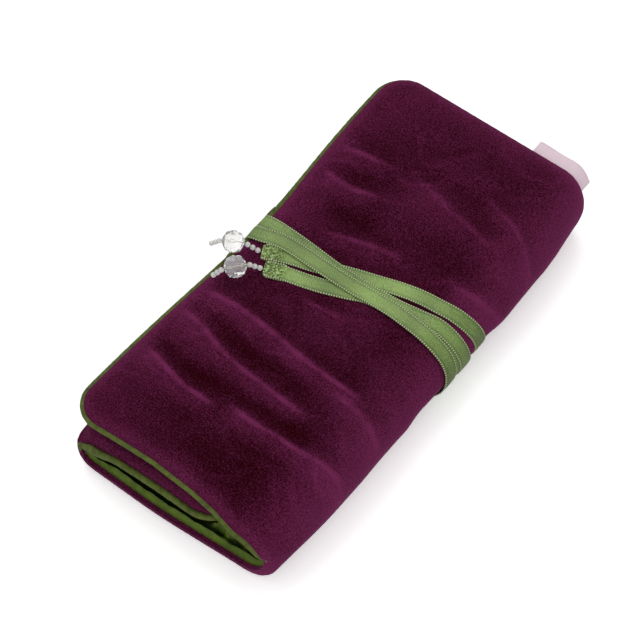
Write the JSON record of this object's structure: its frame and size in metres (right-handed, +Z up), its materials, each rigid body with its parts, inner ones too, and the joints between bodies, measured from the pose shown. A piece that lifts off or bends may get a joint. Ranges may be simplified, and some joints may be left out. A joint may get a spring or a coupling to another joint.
{
  "type": "jewelry roll",
  "caption": "Padded velvet jewelry roll with satin lining and piping, folded in three and tied with wound ribbons that end in bead drops; zipped pocket inside.",
  "frame": {"origin": "on the surface the closed roll lies on, under the middle of its whole box", "axes": "+Y along the roll to the end with the label, +X across it to the right fold, away from the free edge of the top flap, +Z up"},
  "size_m": [0.1126, 0.2266, 0.0412],
  "materials": {
    "velvet": "velvet pile",
    "wadding": "matt",
    "lining": "satin",
    "piping": "satin",
    "ribbon": "satin",
    "label": "woven",
    "zip_tape": "woven",
    "zip_metal": "plated",
    "crystal": "faceted, polished",
    "seed": "polished",
    "thread": "matt"
  },
  "bodies": {
    "base": {"base_velvet": "velvet", "base_wadding": "wadding", "base_lining": "lining", "base_piping_near": "piping", "base_piping_far": "piping", "right_fold_velvet": "velvet", "right_fold_wadding": "wadding", "right_fold_lining": "lining", "right_fold_piping_near": "piping", "right_fold_piping_far": "piping", "left_fold_velvet": "velvet", "left_fold_wadding": "wadding", "left_fold_lining": "lining", "left_fold_piping_near": "piping", "left_fold_piping_far": "piping", "label": "label", "pocket_panel": "lining", "zip_tape_left": "zip_tape", "zip_tape_right": "zip_tape", "zip_teeth_left": "zip_metal", "zip_teeth_right": "zip_metal", "zip_stop_near": "zip_metal", "zip_stop_far": "zip_metal"},
    "top_flap": {"top_flap_velvet": "velvet", "top_flap_wadding": "wadding", "top_flap_lining": "lining", "top_flap_piping": "piping", "top_flap_pocket": "lining", "ribbon_a": "ribbon", "ribbon_b": "ribbon"},
    "inner_flap": {"inner_flap_velvet": "velvet", "inner_flap_wadding": "wadding", "inner_flap_lining": "lining", "inner_flap_piping": "piping"},
    "drop_a": {"drop_a_thread": "thread", "drop_a_seed_1": "seed", "drop_a_seed_2": "seed", "drop_a_seed_3": "seed", "drop_a_crystal": "crystal", "drop_a_seed_4": "seed", "drop_a_seed_5": "seed", "drop_a_seed_6": "seed"},
    "drop_b": {"drop_b_thread": "thread", "drop_b_seed_1": "seed", "drop_b_seed_2": "seed", "drop_b_seed_3": "seed", "drop_b_crystal": "crystal", "drop_b_seed_4": "seed", "drop_b_seed_5": "seed", "drop_b_seed_6": "seed"},
    "zip_slider": {"zip_slider": "zip_metal"},
    "zip_pull": {"zip_pull": "zip_metal"}
  },
  "joints": [
    {"name": "top_flap_hinge", "type": "hinge", "parent": "base", "child": "top_flap", "pos_m": [0.03831, 0, 0.018], "axis": [0, 1, 0], "range_deg": [0, 170], "deforming": ["right_fold_velvet", "right_fold_wadding", "right_fold_lining", "right_fold_piping_near", "right_fold_piping_far", "ribbon_a", "ribbon_b"]},
    {"name": "inner_flap_hinge", "type": "hinge", "parent": "base", "child": "inner_flap", "pos_m": [-0.03699, 0, 0.0112], "axis": [0, -1, 0], "range_deg": [0, 170], "deforming": ["left_fold_velvet", "left_fold_wadding", "left_fold_lining", "left_fold_piping_near", "left_fold_piping_far", "inner_flap_velvet", "inner_flap_wadding", "inner_flap_lining", "inner_flap_piping"]},
    {"name": "drop_a_lift", "type": "hinge", "parent": "top_flap", "child": "drop_a", "pos_m": [-0.03723, -0.00426, 0.03081], "axis": [-0.5928, 0.6616, -0.4593], "range_deg": [0, 60]},
    {"name": "drop_b_lift", "type": "hinge", "parent": "top_flap", "child": "drop_b", "pos_m": [-0.0311, -0.01053, 0.03108], "axis": [-0.5347, 0.7158, 0.4491], "range_deg": [0, 60]},
    {"name": "zip_slide", "type": "slide", "parent": "base", "child": "zip_slider", "axis": [0, 1, 0], "range_m": [0, 0.18]},
    {"name": "zip_pull_hinge", "type": "hinge", "parent": "zip_slider", "child": "zip_pull", "pos_m": [0.03301, -0.09325, 0.01355], "axis": [-1, 0, 0], "range_deg": [0, 180]}
  ],
  "couplings": [
    {"joint": "inner_flap_hinge", "follows": "top_flap_hinge", "ratio": 1}
  ]
}
